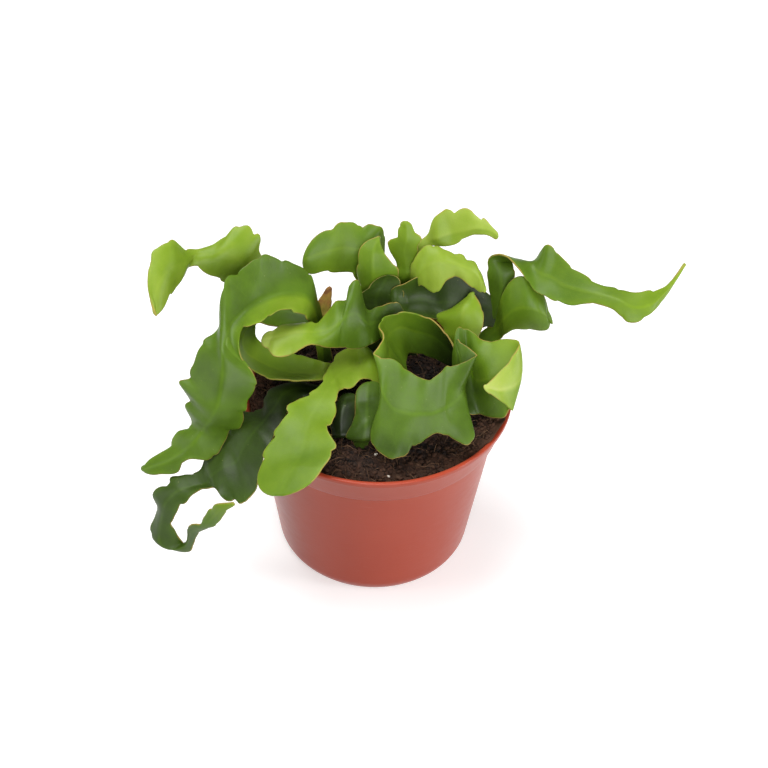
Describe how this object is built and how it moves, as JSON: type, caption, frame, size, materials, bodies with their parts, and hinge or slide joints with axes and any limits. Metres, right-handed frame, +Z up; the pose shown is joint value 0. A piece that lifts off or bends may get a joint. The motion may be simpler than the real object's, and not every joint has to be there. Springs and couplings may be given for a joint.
{
  "type": "potted orchid cactus",
  "caption": "Small orchid cactus with broad, curly, scalloped flat stems arching out of dark soil in a round tapered plastic nursery pot with a rim band.",
  "frame": {"origin": "centre of the flat underside of the pot, on the table", "axes": "+Z up along the pot's axis; -Y is the side the plant is usually seen from; +X is to the right seen from there, towards the longest stem"},
  "size_m": [0.2393, 0.1305, 0.1439],
  "materials": {
    "pot_plastic": "satin",
    "soil": "matte",
    "stem": "satin",
    "young_stem": "satin",
    "old_stem": "satin",
    "dried_stem": "matte"
  },
  "bodies": {
    "root": {"pot": "pot_plastic", "root_ball": "soil", "stem_left_arch": "old_stem", "stem_left_ring": "old_stem", "stem_left_low": "old_stem", "stem_front_saddle": "young_stem", "stem_centre_left": "stem", "stem_dried_stub": "dried_stem", "stem_front_scroll": "stem", "stem_right_front": "stem", "stem_bow_tie": "stem", "stem_light_arch": "young_stem", "stem_cupped_back": "stem", "stem_top_right": "young_stem", "stem_young_shoot": "young_stem", "stem_top_left": "stem", "stem_folded_lobe": "stem", "stem_under_leaf": "old_stem", "stem_far_left": "young_stem", "stem_right_long": "stem", "stem_right_lobe": "old_stem", "stem_low_rolled": "old_stem", "stem_low_left": "old_stem"}
  },
  "joints": []
}
